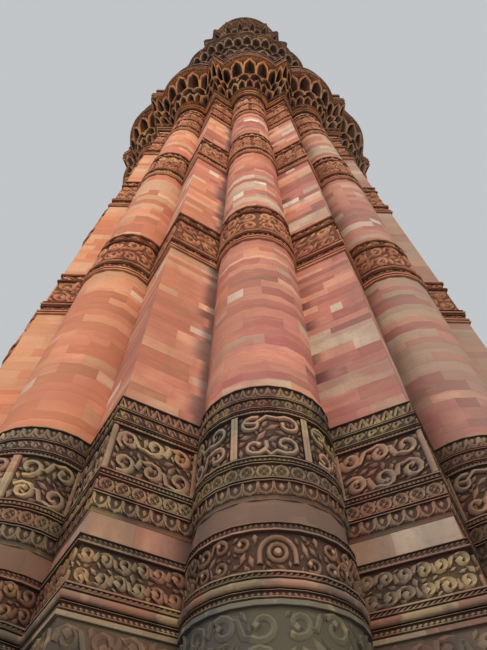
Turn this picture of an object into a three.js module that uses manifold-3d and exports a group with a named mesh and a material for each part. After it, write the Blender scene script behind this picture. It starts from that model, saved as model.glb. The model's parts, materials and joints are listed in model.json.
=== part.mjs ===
// Fluted stone minaret as a 1:10 scale model. Real sizes are given in metres, turned into model millimetres.
// +Z is up, the ground is at z = 0, and the axis of the tower is x = y = 0. The entrance faces +Y.

import * as THREE from 'three';
import { mergeVertices } from 'three/addons/utils/BufferGeometryUtils.js';
import Module from 'manifold-3d';

const wasm = await Module();
wasm.setup();

// Driving dimensions. Lengths are metres of the real tower.
const modelMillimetresPerMetre = 100; // 1:10
const jointGap = 0.004; // an open bed joint, 0.4 mm on the model
const fluteCount = 24;
const boreSides = 32;

const plinth = { radius: 8.1, height: 0.35, sides: 24 };
const base = { top: 1.1, foot: 0.42, shoulder: 0.14, shoulderHeight: 0.85 };

// Each storey: its flutes, the circle through its valleys at foot and head, its bore and its height.
// Flute kinds run round the plan from -Y: r is a half round, a is a right-angled arris, o is a plain round
// wall. A turned storey has a valley, and not a flute, at -Y. arc is how many flat sides make a half round.
const storeys = {
  first: { flutes: 'ra', arc: 5, foot: 0.35, head: 25.5, valleyFoot: 6.361, valleyHead: 4.978, bore: 3.1 },
  second: { flutes: 'r', arc: 3, foot: 29.25, head: 41.9, valleyFoot: 4.42, valleyHead: 3.9, bore: 2.6 },
  third: {
    flutes: 'a', turned: true, foot: 44.45, head: 54.7, valleyFoot: 3.44, valleyHead: 3.12, bore: 2.1,
  },
  fourth: { flutes: 'o', arc: 2, foot: 56.85, head: 62.9, valleyFoot: 2.95, valleyHead: 2.68, bore: 1.6 },
  fifth: { flutes: 'r', arc: 2, foot: 64.5, head: 70.2, valleyFoot: 2.02, valleyHead: 1.6, bore: 1.05 },
};

// Carved bands: foot and head above the ground, and how far they stand proud of the wall.
const bands = {
  first: [
    { name: 'band_1', foot: 2.7, head: 3.62, proud: 0.07 },
    { name: 'band_2', foot: 3.64, head: 4.33, proud: 0.07 },
    { name: 'band_3', foot: 4.6, head: 6.24, proud: 0.09 },
    { name: 'band_4', foot: 10.62, head: 12.35, proud: 0.08 },
    { name: 'band_5', foot: 16.66, head: 18.9, proud: 0.08 },
    { name: 'band_6', foot: 22.05, head: 25.2, proud: 0.08 },
  ],
  second: [
    { name: 'band_1', foot: 33.4, head: 34.7, proud: 0.08 },
    { name: 'band_2', foot: 38.3, head: 39.6, proud: 0.08 },
  ],
  third: [
    { name: 'band_1', foot: 48.0, head: 49.1, proud: 0.08 },
    { name: 'band_2', foot: 51.9, head: 53.0, proud: 0.08 },
  ],
  fourth: [
    { name: 'band_1', foot: 58.2, head: 59.0, proud: 0.07 },
    { name: 'band_2', foot: 60.9, head: 61.7, proud: 0.07 },
  ],
  fifth: [{ name: 'band_1', foot: 67.0, head: 68.1, proud: 0.07 }],
};

// Cornices that carry the balconies: tiers of corbels, each a list of [height, proud of rounds, proud of
// arrises] over the line of the wall below.
const balconies = {
  first: {
    tiers: {
      lower: [[25.5, 0.2, 0.2], [26.15, 0.34, 0.34], [26.7, 0.5, 0.42]],
      upper: [[26.7, 0.66, 0.56], [28.3, 0.98, 0.76], [28.85, 1.24, 0.92]],
    },
    floor: { foot: 28.85, head: 29.25, round: 1.3, angular: 0.95 },
    parapet: { head: 30.3, thickness: 0.24 },
  },
  second: {
    tiers: {
      lower: [[41.9, 0.16, 0.16], [42.6, 0.4, 0.4]],
      upper: [[42.6, 0.56, 0.56], [44.1, 1.12, 1.12]],
    },
    floor: { foot: 44.1, head: 44.45, round: 1.2, angular: 1.2 },
    parapet: { head: 45.4, thickness: 0.2 },
  },
  third: {
    tiers: {
      lower: [[54.7, 0.14, 0.14], [55.3, 0.36, 0.36]],
      upper: [[55.3, 0.48, 0.48], [56.55, 1.0, 1.0]],
    },
    floor: { foot: 56.55, head: 56.85, round: 1.06, angular: 1.06 },
    parapet: { head: 57.75, thickness: 0.18 },
  },
  fourth: {
    tiers: { upper: [[62.9, 0.14, 0.14], [63.4, 0.5, 0.5], [64.25, 1.4, 1.4]] },
    floor: { foot: 64.25, head: 64.5, round: 1.5, angular: 1.5 },
    parapet: { head: 65.4, thickness: 0.16 },
  },
  fifth: {
    tiers: { upper: [[70.2, 0.1, 0.1], [70.55, 0.2, 0.2], [71.15, 0.46, 0.46]] },
    floor: { foot: 71.15, head: 71.4, round: 0.5, angular: 0.5 },
    parapet: { head: 72.1, thickness: 0.14 },
  },
};
const parapetSetBack = 0.03;
const capStump = { radius: 0.75, foot: 71.4, neck: 0.5, neckFoot: 71.95, crown: 0.4, head: 72.5, sides: 16 };

const entrance = { width: 1.4, spring: 1.95, haunch: 2.44, crown: 2.6 };
const balconyDoor = { width: 0.9, height: 2.1 };

// Stone colours, roughness and metalness.
const stone = {
  redSandstone: ['#c0755a', 0.86],
  carvedSandstone: ['#80503e', 0.9],
  corniceSandstone: ['#6d4737', 0.9],
  whiteMarble: ['#d9d0c2', 0.55],
  plinthQuartzite: ['#8d8277', 0.9],
};

const halfStep = Math.PI / fluteCount;

// A point given along (u) and across (v) the direction that lies at an angle from -Y towards +X.
function fromDirection(angle, u, v) {
  const sin = Math.sin(angle);
  const cos = Math.cos(angle);
  return new THREE.Vector2(u * sin + v * cos, -u * cos + v * sin);
}

function circlePlan(radius, sides) {
  return Array.from({ length: sides }, (_, i) => fromDirection((2 * Math.PI * i) / sides, radius, 0));
}

// Half the angle that a round flute's arc covers, when it stands proud and meets its neighbour.
function arcReach(centre, radius, tip) {
  if (tip === null) {
    const across = centre * Math.sin(halfStep);
    const along = centre * Math.cos(halfStep) + Math.sqrt(radius ** 2 - across ** 2);
    return Math.atan2(along * Math.sin(halfStep), along * Math.cos(halfStep) - centre);
  }
  const turn = 2 * halfStep;
  const q = new THREE.Vector2(tip * Math.cos(turn) - centre, tip * Math.sin(turn));
  const face = new THREE.Vector2(-1, -1).rotateAround(new THREE.Vector2(), turn).normalize();
  const along = -q.dot(face) - Math.sqrt(q.dot(face) ** 2 - (q.lengthSq() - radius ** 2));
  const meet = q.clone().addScaledVector(face, along);
  return Math.atan2(meet.y, meet.x);
}

// The fluted outline, counter-clockwise. valley is the radius where flutes meet on the bare wall, and the
// rounds and arrises can stand proud of it by different amounts.
function flutedPlan(storey, valley, roundProud, angularProud) {
  if (storey.flutes === 'o') return circlePlan(valley + roundProud, fluteCount * storey.arc);
  const centre = valley * Math.cos(halfStep);
  const radius = valley * Math.sin(halfStep) + roundProud;
  const tip = valley * (Math.cos(halfStep) + Math.sin(halfStep)) + Math.SQRT2 * angularProud;
  const alternates = storey.flutes === 'ra';
  const reach = arcReach(centre, radius, alternates ? tip : null);
  const points = [];
  for (let i = 0; i < fluteCount; i++) {
    const angle = 2 * halfStep * i + (storey.turned ? halfStep : 0);
    if (storey.flutes[i % storey.flutes.length] === 'r') {
      const last = alternates ? storey.arc : storey.arc - 1;
      for (let j = 0; j <= last; j++) {
        const turn = reach * ((2 * j) / storey.arc - 1);
        points.push(fromDirection(angle, centre + radius * Math.cos(turn), radius * Math.sin(turn)));
      }
    } else {
      const valleyRadius = tip / (Math.cos(halfStep) + Math.sin(halfStep));
      if (!alternates) points.push(fromDirection(angle - halfStep, valleyRadius, 0));
      points.push(fromDirection(angle, tip, 0));
    }
  }
  return points;
}

function valleyAt(storey, height) {
  const share = (height - storey.foot) / (storey.head - storey.foot);
  return THREE.MathUtils.lerp(storey.valleyFoot, storey.valleyHead, share);
}

function wallPlan(storey, height, roundProud = 0, angularProud = roundProud) {
  return flutedPlan(storey, valleyAt(storey, height), roundProud, angularProud);
}

// The outline moved outward by a small distance, side by side, as a collar needs that hugs a wall.
function grownPlan(plan, distance) {
  const outward = (from, to) => new THREE.Vector2(to.y - from.y, from.x - to.x).normalize();
  return plan.map((point, i) => {
    const before = outward(plan.at(i - 1), point);
    const after = outward(point, plan[(i + 1) % plan.length]);
    const stretch = distance / (1 + before.dot(after));
    return point.clone().addScaledVector(before.add(after), stretch);
  });
}

// A closed body from a stack of like outlines, [{ plan, z }] from foot to head. An inner stack hollows it.
function stackedBody(outer, inner = []) {
  const positions = [];
  const triangles = [];
  const rows = (stack) =>
    stack.map(({ plan, z }) => {
      const first = positions.length / 3;
      for (const p of plan) positions.push(p.x, p.y, z);
      return first;
    });
  const strip = (stack, starts, outward) => {
    const count = stack[0].plan.length;
    for (let k = 1; k < stack.length; k++) {
      for (let i = 0; i < count; i++) {
        const j = (i + 1) % count;
        const [a, b, c, d] = [starts[k - 1] + i, starts[k - 1] + j, starts[k] + j, starts[k] + i];
        triangles.push(...(outward ? [a, b, c, a, c, d] : [a, c, b, a, d, c]));
      }
    }
  };
  const outerRows = rows(outer);
  const innerRows = rows(inner);
  strip(outer, outerRows, true);
  if (inner.length) strip(inner, innerRows, false);
  const cap = (outerEnd, outerStart, innerEnd, innerStart, up) => {
    const count = outerEnd.length;
    const all = innerEnd ? [...outerEnd, ...innerEnd] : outerEnd;
    const number = (i) => (i < count ? outerStart + i : innerStart + i - count);
    for (const [a, b, c] of THREE.ShapeUtils.triangulateShape(outerEnd, innerEnd ? [innerEnd] : [])) {
      const turn = THREE.ShapeUtils.area([all[a], all[b], all[c]]) > 0;
      const face = turn === up ? [a, b, c] : [a, c, b];
      triangles.push(...face.map(number));
    }
  };
  cap(outer[0].plan, outerRows[0], inner[0]?.plan, innerRows[0], false);
  cap(outer.at(-1).plan, outerRows.at(-1), inner.at(-1)?.plan, innerRows.at(-1), true);
  const geometry = new THREE.BufferGeometry();
  geometry.setAttribute('position', new THREE.Float32BufferAttribute(positions, 3));
  geometry.setIndex(triangles);
  return geometry;
}

function toManifold(geometry) {
  const bare = geometry.clone();
  bare.deleteAttribute('normal');
  bare.deleteAttribute('uv');
  const merged = mergeVertices(bare);
  return new wasm.Manifold(
    new wasm.Mesh({
      numProp: 3,
      vertProperties: Float32Array.from(merged.attributes.position.array),
      triVerts: Uint32Array.from(merged.index.array),
    }),
  );
}

function toGeometry(solid) {
  const mesh = solid.getMesh();
  const geometry = new THREE.BufferGeometry();
  geometry.setAttribute('position', new THREE.BufferAttribute(mesh.vertProperties, mesh.numProp));
  geometry.setIndex(new THREE.BufferAttribute(mesh.triVerts, 1));
  return geometry;
}

// A block between two corners, in metres.
function block(low, high) {
  const size = high.map((v, i) => v - low[i]);
  const box = new THREE.BoxGeometry(...size);
  box.translate(...low.map((v, i) => v + size[i] / 2));
  return toManifold(box);
}

// The quarter of the plan that lies round a direction, cut back by half a joint at each side.
function quarter(angle, foot, head) {
  const reach = 2 * plinth.radius;
  const shape = new THREE.Shape([
    new THREE.Vector2(0, -jointGap),
    new THREE.Vector2(reach, -reach - jointGap),
    new THREE.Vector2(-reach, -reach - jointGap),
  ]);
  const wedge = new THREE.ExtrudeGeometry(shape, { depth: head - foot, bevelEnabled: false });
  wedge.rotateZ(angle);
  wedge.translate(0, 0, foot);
  return toManifold(wedge);
}

// The passage of the entrance: upright jambs and a pointed arch, running through the wall along +Y.
function entrancePassage() {
  const half = entrance.width / 2;
  const shape = new THREE.Shape();
  shape.moveTo(-half, 0);
  shape.lineTo(half, 0);
  shape.lineTo(half, entrance.spring);
  shape.quadraticCurveTo(half, entrance.haunch, 0, entrance.crown);
  shape.quadraticCurveTo(-half, entrance.haunch, -half, entrance.spring);
  const depth = 2 * plinth.radius;
  const passage = new THREE.ExtrudeGeometry(shape, { depth, bevelEnabled: false, curveSegments: 5 });
  passage.rotateX(Math.PI / 2);
  passage.translate(0, depth, 0);
  return toManifold(passage);
}

const tower = new THREE.Group();

function addPiece(name, geometry, [colour, roughness]) {
  const scaled = geometry.clone();
  scaled.scale(modelMillimetresPerMetre, modelMillimetresPerMetre, modelMillimetresPerMetre);
  const material = new THREE.MeshStandardMaterial({ color: colour, roughness, metalness: 0 });
  const mesh = new THREE.Mesh(scaled, material);
  mesh.name = name;
  tower.add(mesh);
}

function boreStack(storey, foot, head) {
  return [foot, head].map((z) => ({ plan: circlePlan(storey.bore, boreSides), z }));
}

function wallBody(storey, foot, head) {
  return stackedBody(
    [foot, head].map((z) => ({ plan: wallPlan(storey, z), z })),
    boreStack(storey, foot, head),
  );
}

// Plinth and the moulded base course that follows the flutes
function addPlinth() {
  const slab = [0, plinth.height].map((z) => ({ plan: circlePlan(plinth.radius, plinth.sides), z }));
  addPiece('plinth', stackedBody(slab), stone.plinthQuartzite);
  const foot = plinth.height + jointGap;
  const profile = [
    [foot, base.foot],
    [base.shoulderHeight, base.foot],
    [base.top, base.shoulder],
  ];
  const ring = stackedBody(
    profile.map(([z, proud]) => ({ plan: wallPlan(storeys.first, z, proud), z })),
    [foot, base.top].map((z) => ({ plan: grownPlan(wallPlan(storeys.first, z), jointGap), z })),
  );
  const doorGap = block([-entrance.width / 2, 0, 0], [entrance.width / 2, 2 * plinth.radius, 2 * base.top]);
  addPiece('base_course', toGeometry(toManifold(ring).subtract(doorGap)), stone.redSandstone);
}

// First storey: three quarters of the wall in one piece each, and the back one beside and over the entrance
function addFirstWall() {
  const storey = storeys.first;
  const foot = storey.foot + jointGap;
  const head = storey.head - jointGap;
  const wall = toManifold(wallBody(storey, foot, head));
  const cut = (angle) => wall.intersect(quarter(angle, 0, head + 1));
  addPiece('storey_1_wall_front', toGeometry(cut(0)), stone.redSandstone);
  addPiece('storey_1_wall_right', toGeometry(cut(Math.PI / 2)), stone.redSandstone);
  addPiece('storey_1_wall_left', toGeometry(cut(-Math.PI / 2)), stone.redSandstone);
  const back = cut(Math.PI);
  const half = entrance.width / 2;
  const far = 2 * plinth.radius;
  const springLine = entrance.spring;
  const besideLeft = back.intersect(block([-far, 0, 0], [-half, far, head + 1]));
  const besideRight = back.intersect(block([half, 0, 0], [far, far, head + 1]));
  const over = back
    .intersect(block([-half + jointGap, 0, springLine], [half - jointGap, far, head + 1]))
    .subtract(entrancePassage());
  addPiece('storey_1_wall_beside_door_left', toGeometry(besideLeft), stone.redSandstone);
  addPiece('storey_1_wall_beside_door_right', toGeometry(besideRight), stone.redSandstone);
  addPiece('storey_1_wall_over_door', toGeometry(over), stone.redSandstone);
}

// Upper storeys: one ring of masonry with a doorway to its balcony at the back
function addUpperWall(name, storey, material) {
  const foot = storey.foot + jointGap;
  const head = storey.head - jointGap;
  const half = balconyDoor.width / 2;
  const lintel = storey.foot + balconyDoor.height;
  const doorway = block([-half, 0, storey.foot - 1], [half, 2 * plinth.radius, lintel]);
  const wall = toManifold(wallBody(storey, foot, head)).subtract(doorway);
  addPiece(`${name}_wall`, toGeometry(wall), material);
}

// A carved band: a collar of thin slabs that follows the flutes
function addBand(name, storey, band) {
  const levels = [band.foot, band.head];
  const collar = stackedBody(
    levels.map((z) => ({ plan: wallPlan(storey, z, band.proud), z })),
    levels.map((z) => ({ plan: grownPlan(wallPlan(storey, z), jointGap), z })),
  );
  addPiece(`${name}_${band.name}`, collar, stone.carvedSandstone);
}

// A balcony: corbel tiers that ring the bore, the floor slab that carries the next storey, and the parapet
function addBalcony(number, key) {
  const storey = storeys[key];
  const { tiers, floor, parapet } = balconies[key];
  for (const [tierName, profile] of Object.entries(tiers)) {
    const foot = profile[0][0];
    const head = profile.at(-1)[0] - jointGap;
    const outer = profile.map(([z, round, angular], i) => ({
      plan: wallPlan(storey, z, round, angular),
      z: i === profile.length - 1 ? head : z,
    }));
    const body = stackedBody(outer, boreStack(storey, foot, head));
    addPiece(`balcony_${number}_corbels_${tierName}`, body, stone.corniceSandstone);
  }
  const rim = (z, inset) => ({
    plan: wallPlan(storey, floor.head, floor.round - inset, floor.angular - inset),
    z,
  });
  addPiece(
    `balcony_${number}_floor`,
    stackedBody([rim(floor.foot, 0), rim(floor.head, 0)]),
    stone.corniceSandstone,
  );
  const foot = floor.head + jointGap;
  addPiece(
    `balcony_${number}_parapet`,
    stackedBody(
      [rim(foot, parapetSetBack), rim(parapet.head, parapetSetBack)],
      [rim(foot, parapet.thickness), rim(parapet.head, parapet.thickness)],
    ),
    stone.redSandstone,
  );
}

// What is left of the small dome that once stood on the roof
function addCapStump() {
  const { radius, foot, neck, neckFoot, crown, head, sides } = capStump;
  const stack = [
    [foot + jointGap, radius],
    [neckFoot, radius],
    [neckFoot, neck],
    [head, crown],
  ].map(([z, r]) => ({ plan: circlePlan(r, sides), z }));
  addPiece('roof_cap_stump', stackedBody(stack), stone.redSandstone);
}

addPlinth();
addFirstWall();
addUpperWall('storey_2', storeys.second, stone.redSandstone);
addUpperWall('storey_3', storeys.third, stone.redSandstone);
addUpperWall('storey_4', storeys.fourth, stone.whiteMarble);
addUpperWall('storey_5', storeys.fifth, stone.whiteMarble);
Object.entries(storeys).forEach(([key, storey], i) => {
  for (const band of bands[key]) addBand(`storey_${i + 1}`, storey, band);
  addBalcony(i + 1, key);
});
addCapStump();

export default tower;
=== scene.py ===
import json
import math

import bpy
import numpy as np
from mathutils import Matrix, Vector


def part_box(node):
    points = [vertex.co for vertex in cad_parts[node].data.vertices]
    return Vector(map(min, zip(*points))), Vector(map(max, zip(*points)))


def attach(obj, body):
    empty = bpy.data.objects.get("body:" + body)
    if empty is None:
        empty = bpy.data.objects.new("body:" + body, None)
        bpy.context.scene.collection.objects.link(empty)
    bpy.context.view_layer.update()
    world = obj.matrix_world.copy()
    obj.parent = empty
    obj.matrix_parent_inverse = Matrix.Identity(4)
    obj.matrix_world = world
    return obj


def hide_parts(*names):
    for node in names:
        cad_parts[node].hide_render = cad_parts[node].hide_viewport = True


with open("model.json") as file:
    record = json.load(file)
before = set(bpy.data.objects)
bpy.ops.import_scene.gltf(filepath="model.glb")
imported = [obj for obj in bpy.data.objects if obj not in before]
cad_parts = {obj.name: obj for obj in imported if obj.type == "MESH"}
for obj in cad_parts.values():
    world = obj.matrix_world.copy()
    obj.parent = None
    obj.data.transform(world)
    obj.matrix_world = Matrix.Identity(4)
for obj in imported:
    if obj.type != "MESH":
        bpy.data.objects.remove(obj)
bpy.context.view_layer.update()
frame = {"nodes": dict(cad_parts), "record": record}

modelScale = 0.1
fluteCount = 24
halfStep = math.pi / fluteCount

# kinds run round the plan from -Y: r is a half round, a is a right-angled arris, o is a plain round wall
storeys = {
    "first": {"kinds": "ra", "foot": 0.35, "head": 25.5, "valleyFoot": 6.361, "valleyHead": 4.978, "bore": 3.1},
    "second": {"kinds": "r", "foot": 29.25, "head": 41.9, "valleyFoot": 4.42, "valleyHead": 3.9, "bore": 2.6},
    "third": {"kinds": "a", "foot": 44.45, "head": 54.7, "valleyFoot": 3.44, "valleyHead": 3.12, "bore": 2.1},
    "fourth": {"kinds": "o", "foot": 56.85, "head": 62.9, "valleyFoot": 2.95, "valleyHead": 2.68, "bore": 1.6},
    "fifth": {"kinds": "r", "foot": 64.5, "head": 70.2, "valleyFoot": 2.02, "valleyHead": 1.6, "bore": 1.05},
}
turnedStoreys = ("third",)  # a valley, and not a flute, faces -Y
storeyNumber = {name: i + 1 for i, name in enumerate(storeys)}


def heights(node):
    low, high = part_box(node)
    return low[2] / modelScale, high[2] / modelScale


# Points on the fluted wall. along counts flutes from -Y, anticlockwise: 2.5 is the middle of the third flute.
def arcReach(centre, radius, tip):
    if tip is None:
        across = centre * np.sin(halfStep)
        out = centre * np.cos(halfStep) + np.sqrt(radius**2 - across**2)
        return np.arctan2(out * np.sin(halfStep), out * np.cos(halfStep) - centre)
    turn = 2 * halfStep
    fromX = tip * np.cos(turn) - centre
    fromY = tip * np.sin(turn)
    faceX = (np.sin(turn) - np.cos(turn)) / math.sqrt(2)
    faceY = (-np.sin(turn) - np.cos(turn)) / math.sqrt(2)
    dot = fromX * faceX + fromY * faceY
    run = -dot - np.sqrt(dot**2 - (fromX**2 + fromY**2 - radius**2))
    return np.arctan2(fromY + run * faceY, fromX + run * faceX)


def onFlutes(storeyName, along, level, proud, angularProud=None):
    storey = storeys[storeyName]
    along, level, proud = np.broadcast_arrays(*(np.asarray(v, float) for v in (along, level, proud)))
    angularProud = proud if angularProud is None else np.broadcast_to(angularProud, along.shape)
    flute = np.floor(along)
    t = 2 * (along - flute) - 1
    share = (level - storey["foot"]) / (storey["head"] - storey["foot"])
    valley = storey["valleyFoot"] + share * (storey["valleyHead"] - storey["valleyFoot"])
    centre = valley * np.cos(halfStep)
    radius = valley * np.sin(halfStep) + proud
    tip = valley * (np.cos(halfStep) + np.sin(halfStep)) + math.sqrt(2) * angularProud
    kinds = storey["kinds"]
    if kinds == "ra":
        reach = arcReach(centre, radius, tip)
        meet = 2 * halfStep
        outAtMeet = centre + radius * np.cos(reach)
        overAtMeet = radius * np.sin(reach)
        endOut = outAtMeet * np.cos(meet) + overAtMeet * np.sin(meet)
        endOver = outAtMeet * np.sin(meet) - overAtMeet * np.cos(meet)
        isRound = flute % 2 == 0
        out = np.where(isRound, centre + radius * np.cos(reach * t), tip + np.abs(t) * (endOut - tip))
        over = np.where(isRound, radius * np.sin(reach * t), t * endOver)
    elif kinds == "r":
        reach = arcReach(centre, radius, None)
        out = centre + radius * np.cos(reach * t)
        over = radius * np.sin(reach * t)
    elif kinds == "a":
        valleyRadius = tip / (np.cos(halfStep) + np.sin(halfStep))
        out = tip + np.abs(t) * (valleyRadius * np.cos(halfStep) - tip)
        over = t * valleyRadius * np.sin(halfStep)
    else:
        out = (valley + proud) * np.cos(halfStep * t)
        over = (valley + proud) * np.sin(halfStep * t)
    angle = 2 * halfStep * (flute + (0.5 if storeyName in turnedStoreys else 0))
    x = out * np.sin(angle) + over * np.cos(angle)
    y = -out * np.cos(angle) + over * np.sin(angle)
    return np.stack([x, y, level], -1) * modelScale


# How long one flute's outline is, in metres of the tower.
def fluteLength(storeyName, flute, level, proud=0.0):
    samples = onFlutes(storeyName, flute + np.linspace(0.0001, 0.9999, 33), level, proud)
    return float(np.linalg.norm(np.diff(samples, axis=0), axis=1).sum()) / modelScale


def fluteKind(storeyName, flute):
    kinds = storeys[storeyName]["kinds"]
    return kinds[flute % len(kinds)]


def fluteStations(storeyName, roundSides):
    sides = {"r": roundSides, "a": 2, "o": max(2, roundSides // 4)}
    counts = [sides[fluteKind(storeyName, flute)] for flute in range(fluteCount)]
    return np.array([flute + i / count for flute, count in enumerate(counts) for i in range(count)])


def makeMesh(name, points, faces):
    mesh = bpy.data.meshes.new(name)
    mesh.from_pydata([tuple(p) for p in points], [], [tuple(f) for f in faces])
    mesh.update()
    return mesh


def showMesh(name, mesh):
    piece = bpy.data.objects.new(name, mesh)
    bpy.context.scene.collection.objects.link(piece)
    return piece


def setAttribute(mesh, name, kind, values):
    attribute = mesh.attributes.new(name, kind, "POINT")
    field = "vector" if kind == "FLOAT_VECTOR" else "value"
    attribute.data.foreach_set(field, np.asarray(values, dtype=np.float32).ravel())


# The wall line that stones are set on: a skin with a UV map and, at each point, the way out of the wall.
def makeWallLine(name, storeyName, foot, head, proudAt, rows=24):
    stations = fluteStations(storeyName, 40)
    # a flute more at both ends, for stones that lie across the seam
    before = stations[stations >= fluteCount - 1] - fluteCount
    after = stations[stations < 1.01] + fluteCount
    along, levels = np.meshgrid(np.concatenate([before, stations, after]), np.linspace(foot, head, rows + 1))
    prouds = [proud[:, None] for proud in proudAt(levels[:, 0])]
    small = 0.01
    base = onFlutes(storeyName, along, levels, *prouds)
    moved = onFlutes(storeyName, along, levels, *(proud + small for proud in prouds))
    columns = along.shape[1]
    starts = [row * columns + column for row in range(rows) for column in range(columns - 1)]
    faces = [(a, a + 1, a + columns + 1, a + columns) for a in starts]
    mesh = makeMesh(name, base.reshape(-1, 3), faces)
    setAttribute(mesh, "outward", "FLOAT_VECTOR", (moved - base).reshape(-1, 3) / small)
    corners = np.array(faces).ravel()
    uv = np.stack([along.ravel() / fluteCount, (levels.ravel() - foot) / (head - foot)], -1)[corners]
    mesh.uv_layers.new(name="UVMap").data.foreach_set("uv", uv.astype(np.float32).ravel())
    line = showMesh(name, mesh)
    line["foot"] = foot
    line["height"] = head - foot
    return line


# Adds a node. An input's value may be a number or colour, a socket, or a node, whose first output is taken.
def addNode(tree, kind, inputs=None, **settings):
    node = tree.nodes.new(kind)
    for name, value in settings.items():
        setattr(node, name, value)
    for name, value in (inputs or {}).items():
        socket = next(s for s in node.inputs if s.enabled and name in (s.name, s.identifier))
        if isinstance(value, bpy.types.Node):
            value = next(s for s in value.outputs if s.enabled)
        if isinstance(value, bpy.types.NodeSocket):
            tree.links.new(value, socket)
        else:
            socket.default_value = value
    return node


# Sets a stone on each place of a layout, then bends the whole layout round the tower.
# A place is (flutes along, metres up, metres proud), with its stone's size as (flutes, metres, metres).
def makeSettingTree():
    tree = bpy.data.node_groups.new("set stones on flutes", "GeometryNodeTree")
    sockets = {"Geometry": "Geometry", "Stone": "Object", "Wall Line": "Object", "Foot": "Float",
               "Height": "Float", "Wear": "Float", "Finish": "Material"}
    for name, kind in sockets.items():
        tree.interface.new_socket(name=name, in_out="INPUT", socket_type="NodeSocket" + kind)
    tree.interface.new_socket(name="Geometry", in_out="OUTPUT", socket_type="NodeSocketGeometry")
    given = addNode(tree, "NodeGroupInput").outputs
    stone = addNode(tree, "GeometryNodeObjectInfo", {"Object": given["Stone"], "As Instance": True})
    line = addNode(tree, "GeometryNodeObjectInfo", {"Object": given["Wall Line"]})
    size, uvMap, outward = (
        addNode(tree, "GeometryNodeInputNamedAttribute", {"Name": name}, data_type="FLOAT_VECTOR")
        for name in ("size", "UVMap", "outward"))
    placed = addNode(tree, "GeometryNodeInstanceOnPoints", {
        "Points": given["Geometry"], "Instance": stone.outputs["Geometry"], "Scale": size})
    stones = addNode(tree, "GeometryNodeRealizeInstances", {"Geometry": placed})
    position = addNode(tree, "GeometryNodeInputPosition")
    flat = addNode(tree, "ShaderNodeSeparateXYZ", {"Vector": position}).outputs
    rise = addNode(tree, "ShaderNodeMath", {
        "Value": flat["Y"], "Value_001": given["Foot"]}, operation="SUBTRACT")
    u = addNode(tree, "ShaderNodeMath", {"Value": flat["X"], "Value_001": fluteCount}, operation="DIVIDE")
    v = addNode(tree, "ShaderNodeMath", {"Value": rise, "Value_001": given["Height"]}, operation="DIVIDE")
    spot = addNode(tree, "ShaderNodeCombineXYZ", {"X": u, "Y": v})
    onWall, wayOut = (
        addNode(tree, "GeometryNodeSampleUVSurface", {
            "Mesh": line.outputs["Geometry"], "Value": value, "UV Map": uvMap, "Sample UV": spot},
            data_type="FLOAT_VECTOR")
        for value in (position, outward))
    # wear takes some of the height off the carving, more in some places than in others
    grain = addNode(tree, "ShaderNodeTexNoise", {"Scale": 2.3, "Detail": 2.0}).outputs["Fac"]
    lost = addNode(tree, "ShaderNodeMath", {"Value": grain, "Value_001": given["Wear"]}, operation="MULTIPLY")
    left = addNode(tree, "ShaderNodeMath", {"Value": 1.0, "Value_001": lost}, operation="SUBTRACT")
    depth = addNode(tree, "ShaderNodeMath", {"Value": flat["Z"], "Value_001": left}, operation="MULTIPLY")
    lift = addNode(tree, "ShaderNodeVectorMath", {"Vector": wayOut, "Scale": depth}, operation="SCALE")
    bent = addNode(tree, "ShaderNodeVectorMath", {"Vector": onWall, "Vector_001": lift}, operation="ADD")
    for name, axis in (("along", "X"), ("level", "Y"), ("relief", "Z")):
        stones = addNode(tree, "GeometryNodeStoreNamedAttribute", {
            "Geometry": stones, "Name": name, "Value": flat[axis]}, data_type="FLOAT", domain="POINT")
    moved = addNode(tree, "GeometryNodeSetPosition", {"Geometry": stones, "Position": bent})
    finished = addNode(tree, "GeometryNodeSetMaterial", {"Geometry": moved, "Material": given["Finish"]})
    addNode(tree, "NodeGroupOutput", {"Geometry": finished})
    return tree


settingTree = makeSettingTree()


def setStones(name, stoneMesh, places, line, finish, wear=0.0):
    places = np.asarray(places, float)
    layout = makeMesh(name + " layout", places[:, :3], [])
    setAttribute(layout, "size", "FLOAT_VECTOR", places[:, 3:6])
    setAttribute(layout, "tone", "FLOAT", places[:, 6])
    piece = showMesh(name, layout)
    stone = showMesh(name + " stone", stoneMesh)
    modifier = piece.modifiers.new("set stones", "NODES")
    modifier.node_group = settingTree
    values = {"Stone": stone, "Wall Line": line, "Foot": line["foot"], "Height": line["height"],
              "Wear": wear, "Finish": finish}
    for item in settingTree.interface.items_tree:
        if item.in_out == "INPUT" and item.name in values:
            modifier[item.identifier] = values[item.name]
    piece.update_tag()
    bpy.context.view_layer.update()
    evaluated = piece.evaluated_get(bpy.context.evaluated_depsgraph_get())
    mesh = bpy.data.meshes.new_from_object(evaluated)
    mesh.name = name
    bpy.data.objects.remove(piece)
    bpy.data.objects.remove(stone)
    return mesh


def joinMeshes(name, meshes):
    holders = [showMesh(f"{name} {i}", mesh) for i, mesh in enumerate(meshes)]
    piece = holders[0]
    with bpy.context.temp_override(active_object=piece, selected_editable_objects=holders):
        bpy.ops.object.join()
    piece.name = piece.data.name = name
    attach(piece, "root")
    return piece


# The carved piece is seen in place of the plain solid that it is named for
def finishCarving(name, meshes):
    piece = joinMeshes(name + "_carving", meshes)
    piece.data.shade_smooth()
    piece.data.set_sharp_from_angle(angle=math.radians(48))
    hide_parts(name)
    print(name, len(piece.data.polygons), "faces")


# Flat shapes for carving, drawn in x and y with z as the height of the relief. A shape is (points, faces).
backDepth = -0.15  # how far the back of a carved stroke is let into its ground, as a share of its relief


def unitMesh(name, shapes):
    points = []
    faces = []
    for shapePoints, shapeFaces in shapes:
        start = len(points)
        points += shapePoints
        faces += [tuple(i + start for i in face) for face in shapeFaces]
    return makeMesh(name, points, faces)


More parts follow.
